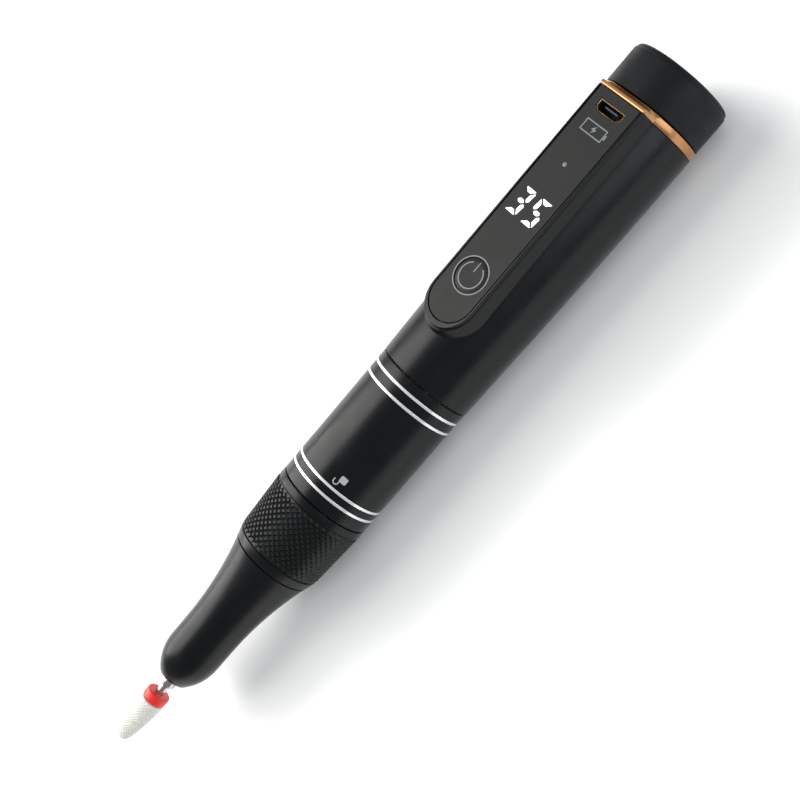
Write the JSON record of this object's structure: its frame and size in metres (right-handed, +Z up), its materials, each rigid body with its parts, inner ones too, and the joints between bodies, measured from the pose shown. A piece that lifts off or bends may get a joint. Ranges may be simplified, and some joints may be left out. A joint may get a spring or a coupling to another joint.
{
  "type": "electric nail drill",
  "caption": "Cordless pen-type electric nail drill with a twist-lock collet, knurled grip, raised control panel and a speed knob on its tail.",
  "frame": {"origin": "on the surface the pen lies on, under the middle of the whole length with the bit fitted, below the pen's axis", "axes": "+X along the pen from its bit to its tail knob, +Y across it, +Z up out of the control panel"},
  "size_m": [0.2078, 0.0264, 0.0277],
  "materials": {
    "satin_black": "satin black anodised aluminium shell",
    "knurled_black": "matt black anodised, diamond knurled",
    "soft_black": "matt black moulded plastic",
    "panel_grey": "fine matt charcoal panel",
    "button_black": "satin black key with a pale grey ring and power symbol",
    "display_glass": "smoked window over white number segments",
    "lamp_lens": "unlit grey lamp lens",
    "rose_gold": "polished copper-gold trim",
    "bright_ring": "polished silver ring",
    "seal_rubber": "black sealing rubber",
    "frame_metal": "plain turned aluminium",
    "bearing_steel": "ground bearing steel",
    "steel": "ground and turned steel",
    "spring_steel": "drawn spring wire",
    "cage_brass": "pressed brass cage",
    "socket_metal": "gold-plated socket shell",
    "coupling_plastic": "natural engineering plastic",
    "white_plastic": "white moulded plastic",
    "ceramic": "fired white ceramic with cross-cut teeth",
    "red_plastic": "red moulded grit-colour ring",
    "magnet": "sintered magnet, dark grey",
    "copper_winding": "enamelled copper winding",
    "red_insulation": "red wire insulation",
    "black_insulation": "black wire insulation",
    "cell_wrap": "blue shrink wrap over a cell",
    "grey_foam": "grey foam pad",
    "board_green": "green solder mask",
    "switch_black": "black switch body",
    "sensor_blue": "blue potentiometer body"
  },
  "bodies": {
    "housing": {"nose_cone": "satin_black", "nose_seal": "seal_rubber", "grip_sleeve": "knurled_black", "inner_frame": "frame_metal", "front_o_ring": "seal_rubber", "rear_o_ring": "seal_rubber", "front_bearing_outer_race": "bearing_steel", "rear_bearing_outer_race": "bearing_steel", "preload_washer": "spring_steel", "bearing_spacer": "frame_metal", "motor_mount": "frame_metal", "motor_can": "steel", "motor_magnet": "magnet", "motor_cap": "white_plastic", "motor_lead_red": "red_insulation", "motor_lead_black": "black_insulation", "rear_housing": "satin_black", "trim_ring": "rose_gold", "control_panel": "panel_grey", "display_module": "display_glass", "indicator_led": "lamp_lens", "usb_socket": "socket_metal", "control_board": "board_green", "board_screw_1": "steel", "board_screw_2": "steel", "tact_switch": "switch_black", "battery_cell": "cell_wrap", "battery_pad": "grey_foam", "battery_lead_red": "red_insulation", "battery_lead_black": "black_insulation", "end_plate": "white_plastic", "speed_sensor": "sensor_blue"},
    "lock": {"lock_sleeve": "satin_black", "lock_ring_1": "bright_ring", "lock_ring_2": "bright_ring", "lock_ring_3": "bright_ring", "lock_ring_4": "bright_ring", "cam_ring": "steel", "lock_pin_1": "steel", "lock_pin_2": "steel"},
    "spindle": {"spindle": "steel", "drive_coupling": "coupling_plastic", "motor_shaft": "steel", "motor_rotor": "copper_winding", "front_bearing_inner_race": "bearing_steel", "rear_bearing_inner_race": "bearing_steel", "front_bearing_ball_cage": "cage_brass", "rear_bearing_ball_cage": "cage_brass", "collet_spring": "spring_steel"},
    "collet": {"collet": "steel", "draw_collar": "steel"},
    "bit": {"bit_shank": "steel", "bit_collar": "red_plastic", "bit_head": "ceramic"},
    "button": {"power_button": "button_black"},
    "knob": {"speed_knob": "soft_black", "knob_disc": "soft_black", "sensor_shaft": "white_plastic"}
  },
  "joints": [
    {"name": "lock_twist", "type": "hinge", "parent": "housing", "child": "lock", "pos_m": [-0.004, 0, 0.01315], "axis": [1, 0, 0], "range_deg": [0, 60]},
    {"name": "spindle_spin", "type": "hinge", "parent": "housing", "child": "spindle", "pos_m": [-0.06, 0, 0.01315], "axis": [1, 0, 0], "continuous": true},
    {"name": "collet_draw", "type": "slide", "parent": "spindle", "child": "collet", "axis": [-1, 0, 0], "range_m": [0, 0.001]},
    {"name": "bit_pull", "type": "slide", "parent": "collet", "child": "bit", "axis": [-1, 0, 0], "range_m": [0, 0.03]},
    {"name": "button_press", "type": "slide", "parent": "housing", "child": "button", "axis": [0, 0, -1], "range_m": [0, 0.0004], "stiffness_N_per_m": 400},
    {"name": "speed_turn", "type": "hinge", "parent": "housing", "child": "knob", "pos_m": [0.098, 0, 0.01315], "axis": [1, 0, 0], "range_deg": [0, 280]}
  ],
  "couplings": [
    {"joint": "collet_draw", "follows": "lock_twist", "m_per_rad": 0.00095}
  ]
}
